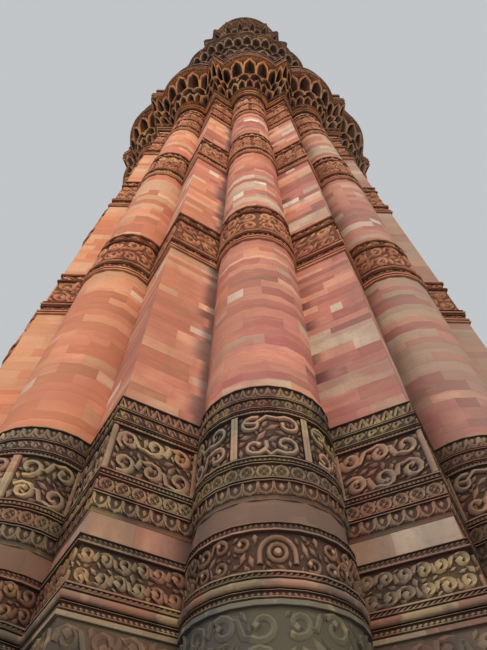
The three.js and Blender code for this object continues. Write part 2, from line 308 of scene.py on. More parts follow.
# Faces between two rings that have as many points and start at a and b
def bridge(a, b, count):
    return [(a + k, a + (k + 1) % count, b + (k + 1) % count, b + k) for k in range(count)]


def ribbon(path, width, top, crown=0.0):
    path = np.asarray(path, float)
    ahead = np.gradient(path, axis=0)
    ahead /= np.linalg.norm(ahead, axis=1)[:, None]
    side = np.stack([-ahead[:, 1], ahead[:, 0]], 1)
    half = np.broadcast_to(np.asarray(width, float) / 2, len(path))[:, None]
    ridge = [(crown, top), (-crown, top)] if crown else [(0, top)]
    section = [(1, backDepth), *ridge, (-1, backDepth)]
    points = [(*(path[i] + side[i] * half[i] * share), z) for i in range(len(path)) for share, z in section]
    count = len(section)
    last = count * (len(path) - 1)
    faces = [face for a in range(0, last, count) for face in bridge(a, a + count, count)]
    return points, faces + [tuple(range(count))[::-1], tuple(range(last, last + count))]


def leaf(base, tip, width, top, bend=0.0, stations=1):
    base = np.asarray(base, float)
    run = np.asarray(tip, float) - base
    side = np.array([-run[1], run[0]])
    across = side / np.linalg.norm(side)
    points = [(*base, backDepth)]
    for i in range(1, stations + 1):
        share = i / (stations + 1)
        middle = base + run * share + side * bend * math.sin(math.pi * share)
        half = across * width / 2 * math.sin(math.pi * share**0.8)
        points += [(*(middle + half), backDepth), (*middle, top), (*(middle - half), backDepth)]
    points.append((*(base + run), backDepth))
    end = len(points) - 1
    faces = [(0, 2, 1), (0, 3, 2), (0, 1, 3)]
    for i in range(stations - 1):
        a = 1 + 3 * i
        faces += [(a, a + 1, a + 4, a + 3), (a + 1, a + 2, a + 5, a + 4), (a + 2, a, a + 3, a + 5)]
    a = end - 3
    return points, faces + [(a, a + 1, end), (a + 1, a + 2, end), (a + 2, a, end)]


def boss(centre, radius, top, sides=5):
    turns = [2 * math.pi * i / sides for i in range(sides)]
    points = [(centre[0] + radius * share * math.cos(turn), centre[1] + radius * share * math.sin(turn), z)
              for share, z in ((1, backDepth), (0.55, top)) for turn in turns]
    return points, [tuple(range(sides, 2 * sides)), tuple(reversed(range(sides)))] + bridge(0, sides, sides)


def hoop(centre, radius, width, top, sides=8):
    points = [(centre[0] + r * math.cos(turn), centre[1] + r * math.sin(turn), z)
              for turn in np.arange(sides) * 2 * np.pi / sides
              for r, z in ((radius - width / 2, backDepth), (radius, top), (radius + width / 2, backDepth))]
    return points, [face for i in range(sides) for face in bridge(3 * i, 3 * ((i + 1) % sides), 3)]


def slab(left, right, low, high, top, chamfer):
    points = []
    for share, z in ((0, backDepth), (chamfer, top)):
        x = share * (right - left)
        y = share * (high - low)
        points += [(left + x, low + y, z), (right - x, low + y, z)]
        points += [(right - x, high - y, z), (left + x, high - y, z)]
    return points, [(4, 5, 6, 7), (3, 2, 1, 0)] + bridge(0, 4, 4)


# A block of ashlar, one unit long and high, with its face at z = 0 and its back at z = -1.
def ashlarBlock(sides):
    points = []
    for i in range(sides + 1):
        x = i / sides - 0.5
        points += [(x, -0.5, -1), (x, -0.5, 0), (x, 0.5, 0), (x, 0.5, -1)]
    faces = [(0, 1, 2, 3)]
    for i in range(sides):
        for k in range(4):
            a = 4 * i + k
            b = 4 * i + (k + 1) % 4
            faces.append((a, a + 4, b + 4, b))
    last = 4 * sides
    return makeMesh("ashlar block", points, faces + [(last + 3, last + 2, last + 1, last)])


# A nailhead: a square stud with four sloping sides
studFaces = [(3, 2, 1, 0), (0, 1, 4), (1, 2, 4), (2, 3, 4), (3, 0, 4)]


def stud(centre, wide, tall, top):
    x, y = centre
    points = [(x + wide * i, y + tall * j, backDepth) for i, j in ((-0.5, 0), (0, -0.5), (0.5, 0), (0, 0.5))]
    return points + [(x, y, top)], studFaces


# Units of the friezes, one unit wide and high
corners = [(math.cos(turn), math.sin(turn)) for turn in math.pi * np.arange(0.25, 2, 0.5)]
curlTurns = np.linspace(0, 2.2 * math.pi, 8)
curlSize = 0.36 * (1 - curlTurns / (3.1 * math.pi))
lobeTurns = np.linspace(math.pi, 2 * math.pi, 6)
friezeUnits = {
    "petals": [
        ribbon([(-0.47, 0.48), (-0.46, 0), (-0.3, -0.32), (0, -0.46), (0.3, -0.32), (0.46, 0), (0.47, 0.48)],
               0.18, 1.0),
        leaf((0, 0.5), (0, -0.2), 0.42, 0.9),
        stud((0.5, -0.3), 0.2, 0.36, 0.8)],
    "scales": [
        ribbon([(-0.5, 0.4), (-0.34, -0.12), (0.0, -0.4), (0.34, -0.12), (0.5, 0.4)], 0.26, 1.0),
        stud((0, 0.22), 0.36, 0.5, 0.9),
        stud((-0.5, -0.28), 0.32, 0.4, 0.85)],
    "chevrons": [
        ribbon([(-0.5, 0.4), (-0.12, -0.4), (0.12, -0.4), (0.5, 0.4)], 0.2, 1.0),
        leaf((0, 0.46), (0, -0.12), 0.3, 0.9),
        leaf((-0.5, -0.05), (-0.4, -0.5), 0.3, 0.8)],
    "rosettes": [
        hoop((0, 0), 0.4, 0.2, 0.95),
        stud((0, 0), 0.26, 0.26, 1.0),
        *(stud((0.22 * x, 0.22 * y), 0.18, 0.18, 0.9) for x, y in corners),
        *(stud((0.5, y), 0.22, 0.3, 0.85) for y in (-0.32, 0.32))],
    "florets": [
        boss((0, 0), 0.12, 1.0),
        *(leaf((0.08 * x, 0.08 * y), (0.56 * x, 0.5 * y), 0.28, 0.9, 0.1) for x, y in corners),
        *(stud((x, y), 0.2, 0.24, 0.8) for x, y in ((-0.5, 0), (0, 0.4), (0, -0.4)))],
    "scrolls": [
        ribbon(np.stack([curlSize * np.cos(curlTurns), curlSize * np.sin(curlTurns) * 1.1], 1), 0.2, 1.0),
        leaf((-0.5, -0.34), (0.0, -0.44), 0.2, 0.9),
        leaf((-0.3, 0.2), (-0.48, 0.46), 0.24, 0.8)],
    "studs": [stud((0, y), 0.86, 0.44, 1.0) for y in (0.25, -0.25)],
    "beads": [stud((0, 0), 0.86, 0.9, 1.0)],
    "cable": [ribbon([(-0.5, -0.42), (0.5, 0.42)], 0.5, 1.0)],
    "cusps": [
        ribbon(np.stack([0.4 * np.cos(lobeTurns), 0.3 + 0.7 * np.sin(lobeTurns)], 1), 0.26, 1.0),
        stud((0, 0.05), 0.4, 0.5, 1.1),
        slab(-0.5, 0.5, 0.3, 0.5, 0.9, 0.04)],
    # honeycomb corbelling: a pointed rib round a hollow with a shell at its foot, and a drop beside it
    "niches": [
        ribbon([(-0.5, -0.5), (-0.47, -0.1), (-0.36, 0.2), (0, 0.46), (0.36, 0.2), (0.47, -0.1), (0.5, -0.5)],
               0.38, 1.0, 0.35),
        leaf((0, 0.0), (0, -0.5), 0.44, 0.5, 0, 2),
        stud((0.5, -0.26), 0.5, 0.46, 1.15),
        stud((0.5, 0.36), 0.4, 0.3, 0.9)],
}
unitWidths = {"petals": 0.16, "scales": 0.15, "chevrons": 0.15, "rosettes": 0.17, "florets": 0.2,
              "scrolls": 0.16, "studs": 0.052, "beads": 0.05, "cable": 0.055, "cusps": 0.36, "niches": 0.4}
angularUnits = {"scales": "chevrons"}  # what a frieze changes to on the arrises
openFeet = ("niches", "petals")  # friezes with no fillet under them, so that they show their edge from below


# A panel of vine scroll in metres: rows of curls that turn in on a bud, joined by stems. Leaves fill what is
# left, and arch is a round hood over a medallion in its middle.
def vinePanel(width, height, seed, stroke, arch, flat):
    chance = np.random.default_rng(seed)
    rows = max(1, round(height / (4.5 * stroke)))
    tall = height / rows
    columns = max(1, round(width / tall))
    wide = width / columns
    paths = []
    shapes = []
    solids = []
    if arch:
        turn = np.linspace(0, math.pi, 13)
        reach = min(width * 0.3, height * 0.42)
        hood = np.stack([-reach * np.cos(turn), height / 2 - stroke - reach + reach * np.sin(turn)], 1)
        paths.append((np.vstack([[-reach, -height * 0.3], hood, [reach, -height * 0.3]]), stroke * 1.25))
        middleY = -stroke * 0.2
        ring = reach * 0.5
        shapes += [hoop((0, middleY), ring, stroke * 1.1, 1.0, 12), boss((0, middleY), stroke * 0.9, 1.0, 8)]
        for turn in np.linspace(0, 2 * math.pi, 16):
            solids.append((ring * math.cos(turn), ring * math.sin(turn) + middleY, stroke * 0.6))
        solids.append((0, 0, stroke))
    for row in range(rows):
        entry = None
        for column in range(columns):
            middle = np.array([(column + 0.5) * wide - width / 2, (row + 0.5) * tall - height / 2])
            middle += chance.uniform(-0.06, 0.06, 2) * (wide, tall)
            if arch and abs(middle[0]) < width * 0.3 + 0.3 * wide:
                entry = None
                continue
            way = 1 if (row + column + seed) % 2 else -1
            radius = 0.41 * min(wide, tall) * chance.uniform(0.88, 1.04)
            first = chance.uniform(0, 2 * math.pi) if entry is None else math.pi * (1 + 0.25 * way)
            run = np.linspace(0, 1, 11)
            angle = first + way * 2 * math.pi * chance.uniform(0.85, 1.3) * run
            size = radius * (1 - 0.62 * run**0.9)
            curl = middle + np.stack([size * np.cos(angle) * wide / min(wide, tall),
                                      size * np.sin(angle) * tall / min(wide, tall)], 1)
            paths.append((curl, stroke * (1.1 - 0.3 * run)))
            shapes.append(boss(curl[-1], stroke * 0.72, 1.0, 4))
            if entry is not None:
                lift = np.array([0, way * tall * 0.14])
                stem = [entry, (entry * 2 + curl[0]) / 3 + lift, (entry + curl[0] * 2) / 3 - lift, curl[0]]
                paths.append((np.array(stem), stroke * 0.9))
            entry = curl[3]
    for path, thick in paths:
        shapes.append(ribbon(path, thick, 1.0, flat))
        dense = np.linspace(0, len(path) - 1, 3 * len(path))
        for i, x, y in zip(dense, *(np.interp(dense, np.arange(len(path)), path[:, k]) for k in (0, 1))):
            solids.append((x, y, np.interp(i, np.arange(len(path)), np.broadcast_to(thick, len(path))) / 2))
    filled = np.array(solids)
    step = stroke * 0.7
    spots = [(x, y) for x in np.arange(step - width / 2, width / 2 - step / 2, step)
             for y in np.arange(step - height / 2, height / 2 - step / 2, step)]
    for x, y in chance.permutation(np.array(spots)):
        clear = np.hypot(filled[:, 0] - x, filled[:, 1] - y) - filled[:, 2]
        nearest = int(clear.argmin())
        room = min(clear[nearest], width / 2 - abs(x), height / 2 - abs(y))
        if room < stroke * 0.36:
            continue
        away = math.atan2(y - filled[nearest, 1], x - filled[nearest, 0])
        lean = away + math.pi / 2 + chance.uniform(-0.5, 0.5)
        run = np.array([math.cos(lean), math.sin(lean)]) * min(room * 2.2, stroke * 2.4)
        over = np.array([-math.sin(lean), math.cos(lean)]) * min(room * 0.95, stroke * 0.75)
        limits = (-width / 2, -height / 2), (width / 2, height / 2)
        base, tip = np.clip((x, y) - run, *limits), np.clip((x, y) + run, *limits)
        rim = [base, np.clip((x, y) - over, *limits), tip, np.clip((x, y) + over, *limits)]
        shapes.append(([(*p, backDepth) for p in rim] + [(x, y, 1.0)], studFaces))
        thick = 2 * np.linalg.norm(over)
        filled = np.vstack([filled, [(*(base + (tip - base) * share), thick / 2 * (1 - abs(2 * share - 1)))
                                     for share in (0.2, 0.4, 0.6, 0.8)]])
    return shapes


# A collar of mouldings that follows the flutes. profile is [(level, proud of rounds, of arrises, relief)] from
# its foot up. The collar's back is let into the wall, or runs down the shaft's bore where one is given.
def makeCollar(name, storeyName, profile, roundSides, bore, backs):
    stations = np.append(fluteStations(storeyName, roundSides), fluteCount - 0.001)
    columns = len(stations)
    rings = [(onFlutes(storeyName, stations, level, proud, angular), level, relief)
             for level, proud, angular, relief in profile]
    for level in (profile[-1][0], profile[0][0]):
        if bore is None:
            ring = onFlutes(storeyName, stations, level, *(max(back, 0) for back in backs))
            ring[:, :2] *= 1 + min(backs[0], 0) * modelScale / np.hypot(ring[:, 0], ring[:, 1])[:, None]
        else:
            turn = 2 * np.pi * stations / fluteCount + (0 if storeyName in turnedStoreys else -halfStep)
            ring = np.stack([np.sin(turn) * bore, -np.cos(turn) * bore, np.full(columns, level)], -1)
            ring *= modelScale
        rings.append((ring, level, 0.0))
    points, levels, reliefs = zip(*rings)
    starts = [k * columns for k in range(len(rings))]
    faces = [face for a, b in zip(starts, starts[1:] + [0]) for face in bridge(a, b, columns)]
    mesh = makeMesh(name, np.concatenate(points), faces)
    setAttribute(mesh, "along", "FLOAT", np.tile(stations, len(rings)))
    setAttribute(mesh, "level", "FLOAT", np.repeat(levels, columns))
    setAttribute(mesh, "relief", "FLOAT", np.repeat(reliefs, columns))
    return mesh


# The section through a course of mouldings, from its foot: [(level, set back from the face, relief)]. Here the
# relief only sets the colour: what faces down is in the dark, so it has no relief and gets painted shade, as do
# the floors of grooves and the top of a plain row under a frieze. rise is the relief of a plain moulding; with
# its finish's full relief it sets the painted shade and highlight of the moulding.
def courseSection(rows, foot, head, shallow, rise, deepest):
    stretch = (head - foot) / sum(row[1] for row in rows)
    section = []
    spans = []
    level = foot
    for row in rows:
        kind = row[0]
        top = level + row[1] * stretch
        recess = row[2] * min(1, stretch) if len(row) > 2 else shallow
        if kind == "groove":
            deep = min(1.8 * recess, deepest)
            added = [(level, 0.0, rise), (level, deep, 0.0), (top, deep, 0.0), (top, 0.0, 0.0)]
        elif kind == "plain":
            # its top has no relief, for a painted shadow just under the frieze above
            added = [(level, deepest - 0.012, 0.3 * rise), (top, deepest - 0.012, 0.0)]
        elif kind == "fillet":
            added = [(level, 0.0, rise), (level + 0.25 * (top - level), 0.0, rise), (top, 0.0, rise)]
        elif kind == "torus":
            bulges = [(i / 5, math.sin(math.pi * i / 5)) for i in range(6)]
            added = [(level + (top - level) * share, recess * (1 - bulge) * 0.8 - 0.02 * bulge, rise * bulge)
                     for share, bulge in bulges]
        else:
            edge = 0 if kind == "niches" else min(0.012, 0.08 * (top - level))
            low = level if kind in openFeet else level + edge
            added = [(level, 0.0, rise), (low, 0.0, rise)] if low > level else []
            added += [(low, recess, 0.0), (top - edge, recess, 0.0)]
            added += [(top - edge, 0.0, 0.0), (top, 0.0, rise)] if edge else []
            spans.append((kind, low, top - edge, recess))
        for point in added:
            if section and abs(section[-1][0] - point[0]) + abs(section[-1][1] - point[1]) < 1e-6:
                section[-1] = (*point[:2], min(section[-1][2], point[2]))
            else:
                section.append(point)
        level = top
    return section, spans


# Where the units of a frieze stand: {what they are: (their shapes, their places)}
def friezePlaces(storeyName, kind, low, high, depth, look, proud, shift, chance):
    level = (low + high) / 2
    width = look.get("widths", {}).get(kind, unitWidths[kind])
    places = {}
    for flute in range(fluteCount):
        unit = angularUnits.get(kind, kind) if fluteKind(storeyName, flute) == "a" else kind
        count = 2 * max(1, round(fluteLength(storeyName, flute, level, proud) / width / 2))
        _, spots = places.setdefault(unit, (friezeUnits[unit], []))
        size = (1 / count, high - low, depth)
        for i in range(count):
            spots.append((flute + (i + shift) / count, level, look["recess"] - depth, *size, chance.random()))
    return places


# The same for panels of vine scroll: some on each round, and one on each face of an arris, with bars between.
def vinePlaces(storeyName, low, high, depth, look, chance):
    tall = high - low
    level = (low + high) / 2
    setBack = look["recess"] - depth
    bar = look["bar"]
    bars = []
    panels = {}
    for flute in range(fluteCount):
        kind = fluteKind(storeyName, flute)
        count = look["panels"] if kind == "r" else 2
        length = fluteLength(storeyName, flute, level, 0.04)
        wide = round(length / count - bar, 2)
        for i in range(count):
            variant = int(chance.integers(look["variants"]))
            arch = bool(look.get("arches") and kind == "r" and i == count // 2)
            spot = (flute + (i + 0.5) / count, level, setBack, 1 / length, 1, depth, chance.random())
            panels.setdefault((kind, variant, wide, arch), []).append(spot)
            for end in (i, i + 1):
                along = flute + end / count + (0.5 - (end - i)) * bar * 0.52 / length
                bars.append((along, level, setBack, bar * 0.5 / length, tall, depth, 0.5))
    places = {}
    for (kind, variant, wide, arch), spots in panels.items():
        seed = look["seed"] + 7 * variant
        shapes = vinePanel(wide, tall, seed, look["stroke"], arch, look.get("flat", 0.0))
        places[f"vine {kind}{variant} {wide} {arch}"] = (shapes, spots)
    if bar:
        places["bars"] = ([slab(-0.5, 0.5, -0.5, 0.5, 1.0, 0.02)], bars)
    return places


# A carved course that rings the tower: its mouldings, its friezes and its fields of vine scroll
def makeCarvedCourse(name, storeyName, rows, proudAt, look, finish, bore=None, backs=(-0.06, -0.06)):
    foot, head = heights(name)
    recess = look["recess"]
    section, spans = courseSection(rows, foot, head, recess, look["rise"], look["deepest"])
    profile = []
    for level, setBack, relief in section:
        prouds = [max(float(proud[0]) - setBack, 0.004) for proud in proudAt(np.array([level]))]
        profile.append((level, *prouds, relief))
    collar = makeCollar(name + " mouldings", storeyName, profile, look["roundSides"], bore, backs)
    collar.materials.append(finish)
    meshes = [collar]
    # the line runs on past the course, for leaves and ribs that end outside it
    line = makeWallLine(name + " line", storeyName, foot - 0.2, head + 0.2,
                        lambda at: [p - recess for p in proudAt(at)], 14)
    chance = np.random.default_rng(look["seed"])
    for row, (kind, low, high, depth) in enumerate(spans):
        if kind == "vines":
            places = vinePlaces(storeyName, low, high, depth, look, chance)
        else:
            proud = float(proudAt(np.array([(low + high) / 2]))[0][0])
            shift = 0 if kind == "niches" and row % 2 else 0.5
            places = friezePlaces(storeyName, kind, low, high, depth, look, proud, shift, chance)
        for unit, (shapes, spots) in places.items():
            stone = unitMesh(f"{name} {unit} unit", shapes)
            meshes.append(setStones(f"{name} {unit}", stone, spots, line, finish, look["wear"]))
    bpy.data.objects.remove(line)
    return meshes


# Materials
def hexToLinear(text):
    parts = [int(text[i:i + 2], 16) / 255 for i in (1, 3, 5)]
    return tuple(p / 12.92 if p <= 0.04045 else ((p + 0.055) / 1.055) ** 2.4 for p in parts) + (1.0,)


# What a fade follows: a coordinate, how far a point is from the valley beside its flute, or an attribute
def readMark(tree, where, name):
    if name in ("X", "Z"):
        return addNode(tree, "ShaderNodeSeparateXYZ", {"Vector": where}).outputs[name]
    if name == "valley":
        along = readMark(tree, where, "along")
        return addNode(tree, "ShaderNodeMath", {"Value": along, "Value_001": 0.5}, operation="PINGPONG")
    return addNode(tree, "ShaderNodeAttribute", attribute_name=name).outputs["Fac"]


# How much a point is covered by a patch of noise: feature is the size of a patch in millimetres of the model.
def patches(tree, where, feature, low, high, stretch=(1, 1, 1), least=0.0):
    scale = [1000 / feature * s for s in stretch]
    placed = addNode(tree, "ShaderNodeMapping", {"Vector": where, "Scale": scale})
    noise = addNode(tree, "ShaderNodeTexNoise", {"Vector": placed, "Scale": 1.0, "Detail": 3.0})
    return addNode(tree, "ShaderNodeMapRange", {
        "Value": noise.outputs["Fac"], "From Min": low, "From Max": high,
        "To Min": least, "To Max": least + 1}, interpolation_type="SMOOTHSTEP")


# Where a colour lies: in patches, or in a fade, which is (what it follows, where it ends, where it is full).
def shareOf(tree, where, mask):
    if not isinstance(mask[0], str):
        return patches(tree, where, *mask)
    return addNode(tree, "ShaderNodeMapRange", {
        "Value": readMark(tree, where, mask[0]), "From Min": mask[1], "From Max": mask[2]})


# The slabs of a course change colour at upright joints, and each course has joints of its own. The lower half
# of what comes out is for the rounds, and the upper half for the arrises.
slabCourses = 3.1  # in a metre of the tower


def pickSlab(tree, where, slabLength):
    along = readMark(tree, where, "along")
    rise = addNode(tree, "ShaderNodeMath", {
        "Value": readMark(tree, where, "level"), "Value_001": slabCourses}, operation="MULTIPLY")
    course = addNode(tree, "ShaderNodeMath", {"Value": rise}, operation="FLOOR")
    run = addNode(tree, "ShaderNodeMath", {"Value": along, "Value_001": 1 / slabLength}, operation="MULTIPLY")
    shifted = addNode(tree, "ShaderNodeMath", {
        "Value": course, "Value_001": 0.37, "Value_002": run}, operation="MULTIPLY_ADD")
    slab = addNode(tree, "ShaderNodeMath", {"Value": shifted}, operation="FLOOR")
    spot = addNode(tree, "ShaderNodeCombineXYZ", {"X": slab, "Y": course})
    pick = addNode(tree, "ShaderNodeTexWhiteNoise", {"Vector": spot}, noise_dimensions="2D")
    flute = addNode(tree, "ShaderNodeMath", {"Value": along}, operation="FLOOR")
    isArris = addNode(tree, "ShaderNodeMath", {"Value": flute, "Value_001": 2.0}, operation="FLOORED_MODULO")
    choice = addNode(tree, "ShaderNodeMath", {
        "Value": pick.outputs["Value"], "Value_001": isArris}, operation="ADD")
    return addNode(tree, "ShaderNodeMath", {"Value": choice, "Value_001": 0.499}, operation="MULTIPLY")


# Stone: its blocks' colours from a ramp, and washes over them in order: (colour, strength, where it lies).
# grain is (its scale, its detail, the strength of its bump, how deep it is).
def makeStone(name, stops, washes, slabLength=None, pick=("tone", 0.0, 1.0), roughness=0.9, specular=0.5,
              grain=None):
    material = bpy.data.materials.new(name)
    material.use_nodes = True
    tree = material.node_tree
    tree.nodes.clear()
    where = addNode(tree, "ShaderNodeTexCoord").outputs["Object"]
    choice = pickSlab(tree, where, slabLength) if slabLength else shareOf(tree, where, pick)
    rampNode = addNode(tree, "ShaderNodeValToRGB", {"Fac": choice})
    ramp = rampNode.color_ramp
    ramp.elements.remove(ramp.elements[-1])
    for i, (position, hexColour) in enumerate(stops):
        element = ramp.elements[0] if i == 0 else ramp.elements.new(position)
        element.position = position
        element.color = hexToLinear(hexColour)
    colour = rampNode.outputs["Color"]
    for hexColour, factor, *masks in washes:
        for mask in masks:
            share = shareOf(tree, where, mask)
            factor = addNode(tree, "ShaderNodeMath", {
                "Value": factor, "Value_001": share}, operation="MULTIPLY")
        colour = addNode(tree, "ShaderNodeMix", {
            "Factor_Float": factor, "A_Color": colour, "B_Color": hexToLinear(hexColour)}, data_type="RGBA")
    surface = {"Base Color": colour, "Roughness": roughness, "Specular IOR Level": specular}
    if grain:
        scale, detail, strength, distance = grain
        noise = addNode(tree, "ShaderNodeTexNoise", {"Vector": where, "Scale": scale, "Detail": detail})
        surface["Normal"] = addNode(tree, "ShaderNodeBump", {
            "Height": noise.outputs["Fac"], "Strength": strength, "Distance": distance})
    shader = addNode(tree, "ShaderNodeBsdfPrincipled", surface)
    addNode(tree, "ShaderNodeOutputMaterial", {"Surface": shader})
    return material


# Red sandstone, sawn and rubbed: each block has one colour from salmon to cream, with faint bedding and a
# matt grain. Low on the tower, it has a dark grey-green crust.
dressed = {
    "blocks": [(0.0, "#A87C6C"), (0.012, "#A87C6C"), (0.014, "#7A4E4A"), (0.07, "#8C5C54"), (0.1, "#9A5A54"),
               (0.25, "#AE6C62"), (0.4, "#BC7E6E"), (0.55, "#C68E78"), (0.72, "#D8A88E"), (0.76, "#A08C76"),
               (0.84, "#B4A08A"), (0.9, "#C6B8A2"), (0.96, "#DCD6CA"), (0.975, "#403731"), (1.0, "#5A4B43")],
    "washes": [
        ("#CF8A5C", 0.38, (190, 0.44, 0.66)),  # iron stains that cross the joints
        ("#C9A184", 0.28, (34, 0.5, 0.72, (1, 1, 4))),  # pale bedding
        ("#6E5048", 0.35, (60, 0.56, 0.8, (1.6, 1.6, 0.5))),  # grime that has run down
        ("#8E5A4C", 0.3, (5, 0.5, 0.75)),  # specks
        ("#7C665A", 0.5, (90, 0.3, 0.6), ("Z", 1.7, 0.6)),  # a film that thins out upwards
        # deep rose beds over the lowest bands
        ("#94535A", 0.6, ("Z", 0.92, 0.64), ("Z", 0.62, 0.6201), (80, 0.4, 0.62, (1, 1, 3))),
        ("#CC8656", 0.5, ("X", 0.05, -0.4)),  # warm painted light on one side
        ("#82726A", 0.75, ("X", 0.08, 0.45)),  # grey painted shade on the other side
        ("#5A4E47", 0.3, ("Z", 0.62, 0.46), (26, 0.32, 0.6, (1, 1, 0.25), 0.75)),  # streaks of crust
        ("#5C5048", 0.55, ("tone", 0.971, 0.972)),  # blocks with a dark coat
        # grime and painted shade that gather between the flutes, on the side away from the sun
        ("#5A4238", 0.85, ("valley", 0.16, 0.0), ("X", 0.12, 0.3), (50, 0.36, 0.62, (1, 1, 0.3))),
    ],
}
finishes = {
    "dressed": makeStone("dressed sandstone", dressed["blocks"], dressed["washes"], roughness=0.88,
                         specular=0.3, grain=(900.0, 2.0, 0.25, 0.0006)),
    # white marble, honed and then weathered to cream, with soft grey veins
    "marble": makeStone(
        "white marble", [(0.0, "#C9BDA9"), (0.5, "#D8CDBB"), (1.0, "#E6DDCC")],
        [("#9C958A", 0.35, (40, 0.54, 0.6, (1, 1, 2.5))), ("#B08E68", 0.4, (70, 0.55, 0.8, (1.4, 1.4, 0.5)))],
        roughness=0.5),
    # grey quartzite of the plinth, hammer dressed
    "quartzite": makeStone("plinth quartzite", [(0.0, "#6F675E"), (0.5, "#8B8175"), (1.0, "#A39683")], [],
                           pick=(30, 0.3, 0.7), roughness=0.85, grain=(300.0, 3.0, 0.5, 0.001)),
}

# The same sandstone where it is carved: slabs of several colours, dust, and painted shade that darkens the low
# ground of the carving towards the ground colour. A slab's length is in flutes, and from a relief of full
# metres there is no painted shade; higher relief gets a painted highlight. The colours are those of the rounds
# and then of the arrises. Where there are too few for both, the arrises share those of the rounds.
carved = {"slab": 0.5, "rubAndHighlight": 0.2, "recessShade": 0.88,
          "shares": (0, 0.15, 0.275, 0.4, 0.495, 0.505, 0.65, 0.775, 0.9, 0.995)}
carvedStones = {
    "carvedLow": dict(
        carved, name="carved sandstone, low bands", ground="#32261F", crust="#55504A", slab=0.23, full=0.014,
        rubAndHighlight=0.18, shares=(0, 0.1, 0.18, 0.25, 0.32, 0.4, 0.45, 0.495, 0.505, 0.65, 0.75, 0.85, 0.925, 1.0),
        colours="#75504A #876753 #857455 #66605A #926E60 #A18C6A #705E58 #80564E "
                "#7E5048 #8E6C58 #8A5A50 #7A6B5C #A8946E #94604F"),
    "carvedFoot": dict(
        carved, name="carved sandstone, lowest band", ground="#33302C", crust="#4C4E4A", slab=0.31, full=0.014,
        rubAndHighlight=0.0, recessShade=0.6, shares=(0, 0.15, 0.275, 0.4, 0.495, 0.505, 0.65, 0.75, 0.85, 1.0),
        colours="#4C5453 #5E5B55 #666350 #5A4F4A #525C5E #6A4A40 #7A6A58 #8C8068 #6C5A50 #75564A"),
    "carvedHigh": dict(
        carved, name="carved sandstone, high bands", ground="#52301F", crust="#8E5C48", slab=0.4, full=0.022,
        colours="#A8644F #BA7A60 #C88C66 #B07056 #CE9C74 #A8644F"),
    "cornice": dict(
        carved, name="cornice sandstone", ground="#1D1512", crust="#5A4030", full=0.09, rubAndHighlight=0.3,
        colours="#8A5338 #A66A42 #BA8050 #8C5840 #C49A66 #7A4E38"),
    "corniceHigh": dict(
        carved, name="cornice sandstone, high up", ground="#1D1512", crust="#4A3E36", full=0.09,
        colours="#5E4436 #7E5C44 #8E7058 #684C3C #A48868 #5E4436"),
    "edge": dict(
        carved, name="balcony edge sandstone", ground="#33251D", crust="#5A463A", full=0.06,
        colours="#8A6656 #A88070 #BE9C88 #7A5848 #C8AC94 #8A6656"),
    "parapet": dict(
        carved, name="parapet sandstone", ground="#2A1C16", crust="#4A382C", full=0.03, rubAndHighlight=0.0,
        colours="#5E4034 #7A5442 #8E6452 #6E4A3A #A88870 #6A4636"),
}
for name, look in carvedStones.items():
    colours = look["colours"].split()
    colours += colours[1:1 + len(look["shares"]) - len(colours)]
    full = look["full"]
    washes = [
        (look["crust"], 0.75, (45, 0.46, 0.68)),
        ("#B59A74", 0.4, (12, 0.55, 0.75)),  # dust
        ("#CDB894", look["rubAndHighlight"], ("relief", 1.3 * full, 2.2 * full)),  # what stands out is rubbed pale and has a painted highlight
        ("#6E5A4E", 0.6, ("X", 0.1, 0.5)),  # grey painted shade on one side
        # painted shade: the lower the relief, the nearer the colour comes to the dark ground
        (look["ground"], look["recessShade"], ("relief", full, 0.0)),
    ]
    finishes[name] = makeStone(look["name"], list(zip(look["shares"], colours)), washes, look["slab"],
                               specular=0.25, grain=(500.0, 3.0, 0.4, 0.001))
print("materials made")


# Ashlar: plain courses between the bands
ashlar = {"courseHeight": 0.4, "growth": 0.0, "blockLength": 0.8, "joint": 0.006, "proud": 0.01,
          "uneven": 0.001, "thickness": 0.11, "unevenCourses": 0.05, "doorHalf": 0.48}
ashlarLooks = {
    "first": dict(ashlar, courseHeight=0.19, growth=0.05, blockLength=0.42, joint=0.0016, proud=0.0165,
                  thickness=0.05, unevenCourses=0.4, doorHalf=0.72, sides=8, seed=27),
    "second": dict(ashlar, joint=0.008, uneven=0.002, unevenCourses=0.12, sides=6, seed=22),
    "third": dict(ashlar, blockLength=0.5, joint=0.008, uneven=0.002, thickness=0.04, unevenCourses=0.12,
                  sides=1, seed=23),
    "fourth": dict(ashlar, courseHeight=0.42, thickness=0.05, sides=2, seed=24),
    "fifth": dict(ashlar, sides=4, seed=25),
}
doorHeads = {name: storey["foot"] + 2.14 for name, storey in storeys.items()}
doorHeads["first"] = 2.62
growthFoot = 7.0  # the level over which the courses of the first storey grow taller
calmHead = 4.8  # the level under which its stones are in calm colours
whiteTone = 0.95
bandCounts = {"first": 6, "second": 2, "third": 2, "fourth": 2, "fifth": 1}


def plainZones(storeyName):
    number = storeyNumber[storeyName]
    ends = [heights("base_course")[1] if number == 1 else storeys[storeyName]["foot"]]
    for i in range(bandCounts[storeyName]):
        ends += heights(f"storey_{number}_band_{i + 1}")
    ends.append(storeys[storeyName]["head"])
    return [(low, high) for low, high in zip(ends[::2], ends[1::2]) if high - low > 0.05]


def doorSpan(storeyName, half, level):
    along = np.linspace(11.01, 13.99, 600)
    points = onFlutes(storeyName, along, level, 0.02) / modelScale
    inside = along[(np.abs(points[:, 0]) < half) & (points[:, 1] > 0)]
    return (inside.min(), inside.max()) if len(inside) else (0, 0)


# How much of a flute's stone is beige, where the photograph shows it
beigeShares = {20: 0.8, 21: 0.75, 22: 0.14, 23: 0.12, 0: 0.14, 1: 0.3, 2: 0.42, 3: 0.6, 4: 0.7}


